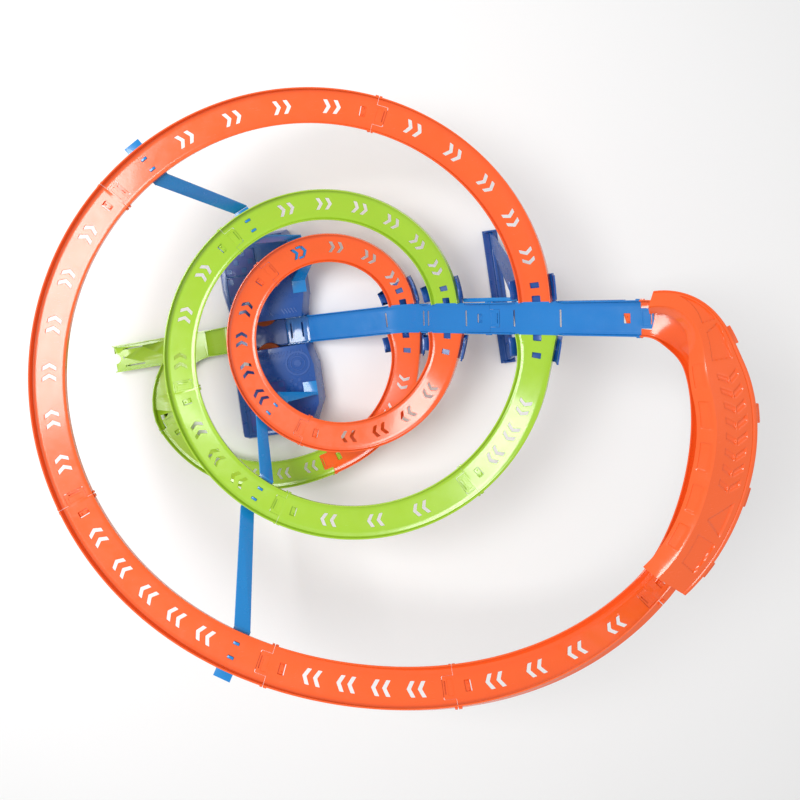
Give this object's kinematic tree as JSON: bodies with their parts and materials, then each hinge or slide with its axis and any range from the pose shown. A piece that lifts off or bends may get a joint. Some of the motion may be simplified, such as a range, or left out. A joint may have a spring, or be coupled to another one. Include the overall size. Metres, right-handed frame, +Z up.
{
  "type": "slot car track set",
  "caption": "Motorised booster with an orange and green spiral race track, a blue ramp through its crossings and a covered banked curve.",
  "frame": {"origin": "on the floor, under the middle of the booster housing, on the centre line of its channel", "axes": "+X the way the cars leave the booster and climb the ramp, +Z up"},
  "size_m": [0.8684, 0.8143, 0.3926],
  "materials": {
    "orange_plastic": "glossy moulded",
    "green_plastic": "glossy moulded",
    "blue_plastic": "glossy moulded",
    "clear_blue_plastic": "clear tinted",
    "navy_plastic": "satin moulded",
    "grey_plastic": "matt moulded",
    "white_plastic": "satin moulded",
    "hub_plastic": "satin moulded",
    "foam": "matt open cell",
    "steel": "bright",
    "battery_case": "printed sleeve"
  },
  "bodies": {
    "track_set": {"entry_merge_track": "green_plastic", "last_loop_green": "green_plastic", "last_loop_orange": "orange_plastic", "inner_loop_1": "orange_plastic", "inner_loop_2": "orange_plastic", "inner_loop_3": "orange_plastic", "middle_loop_1": "green_plastic", "middle_loop_2": "green_plastic", "middle_loop_3": "green_plastic", "middle_loop_4": "green_plastic", "middle_loop_5": "green_plastic", "outer_loop_1": "orange_plastic", "outer_loop_2": "orange_plastic", "outer_loop_3": "orange_plastic", "outer_loop_4": "orange_plastic", "outer_loop_5": "orange_plastic", "outer_loop_6": "orange_plastic", "curve_track": "orange_plastic", "curve_cover": "orange_plastic", "cover_clips": "orange_plastic", "launch_insert": "clear_blue_plastic", "lower_ramp": "blue_plastic", "upper_ramp": "blue_plastic", "crossing_guard_low": "navy_plastic", "crossing_guard_middle": "navy_plastic", "crossing_guard_high": "navy_plastic", "tower": "navy_plastic", "ramp_brace": "blue_plastic", "strut_a_lower": "blue_plastic", "strut_a_upper": "blue_plastic", "strut_b_lower": "blue_plastic", "strut_b_upper": "blue_plastic", "booster_base": "navy_plastic", "booster_cover_rear": "navy_plastic", "booster_cover_front": "navy_plastic", "booster_channel": "navy_plastic", "gearbox_plate": "grey_plastic", "gear_pins": "steel", "motor": "steel", "batteries": "battery_case", "battery_contacts": "steel", "switch_body": "grey_plastic", "housing_screws": "steel"},
    "wheel_rear": {"drive_gear_rear": "grey_plastic", "axle_rear": "steel", "wheel_hub_rear": "hub_plastic", "wheel_foam_rear": "foam"},
    "wheel_front": {"drive_gear_front": "grey_plastic", "axle_front": "steel", "wheel_hub_front": "hub_plastic", "wheel_foam_front": "foam"},
    "idler_rear": {"idler_gear_rear": "grey_plastic"},
    "idler_front": {"idler_gear_front": "grey_plastic"},
    "reduction": {"reduction_gear": "grey_plastic"},
    "motor_rotor": {"motor_shaft": "steel", "motor_pinion": "grey_plastic"},
    "door_rear": {"battery_door_rear": "navy_plastic"},
    "door_front": {"battery_door_front": "navy_plastic"},
    "switch_slider_body": {"switch_slider": "white_plastic"}
  },
  "joints": [
    {"name": "wheel_rear_spin", "type": "hinge", "parent": "track_set", "child": "wheel_rear", "pos_m": [-0.008, 0.037, 0.024], "axis": [0, 0, 1], "continuous": true},
    {"name": "wheel_front_spin", "type": "hinge", "parent": "track_set", "child": "wheel_front", "pos_m": [-0.008, -0.037, 0.024], "axis": [0, 0, 1], "continuous": true},
    {"name": "idler_rear_spin", "type": "hinge", "parent": "track_set", "child": "idler_rear", "pos_m": [-0.0029, 0.01125, 0.006], "axis": [0, 0, 1], "continuous": true},
    {"name": "idler_front_spin", "type": "hinge", "parent": "track_set", "child": "idler_front", "pos_m": [-0.0029, -0.01125, 0.006], "axis": [0, 0, 1], "continuous": true},
    {"name": "reduction_spin", "type": "hinge", "parent": "track_set", "child": "reduction", "pos_m": [0.00575, 0.06082, 0.006], "axis": [0, 0, 1], "continuous": true},
    {"name": "motor_spin", "type": "hinge", "parent": "track_set", "child": "motor_rotor", "pos_m": [0.01638, 0.07922, 0.006], "axis": [0, 0, 1], "continuous": true},
    {"name": "door_rear_hinge", "type": "hinge", "parent": "track_set", "child": "door_rear", "pos_m": [-0.013, 0.103, 0.0004], "axis": [1, 0, 0], "range_deg": [-60, 0]},
    {"name": "door_front_hinge", "type": "hinge", "parent": "track_set", "child": "door_front", "pos_m": [-0.013, -0.103, 0.0004], "axis": [1, 0, 0], "range_deg": [0, 60]},
    {"name": "switch_slide", "type": "slide", "parent": "track_set", "child": "switch_slider_body", "axis": [1, 0, 0], "range_m": [0, 0.006]}
  ],
  "couplings": [
    {"joint": "wheel_front_spin", "follows": "wheel_rear_spin", "ratio": -1},
    {"joint": "idler_rear_spin", "follows": "wheel_rear_spin", "ratio": -1.3333},
    {"joint": "idler_front_spin", "follows": "wheel_rear_spin", "ratio": 1.3333},
    {"joint": "reduction_spin", "follows": "wheel_rear_spin", "ratio": -1.2},
    {"joint": "motor_spin", "follows": "wheel_rear_spin", "ratio": 1.7143}
  ]
}
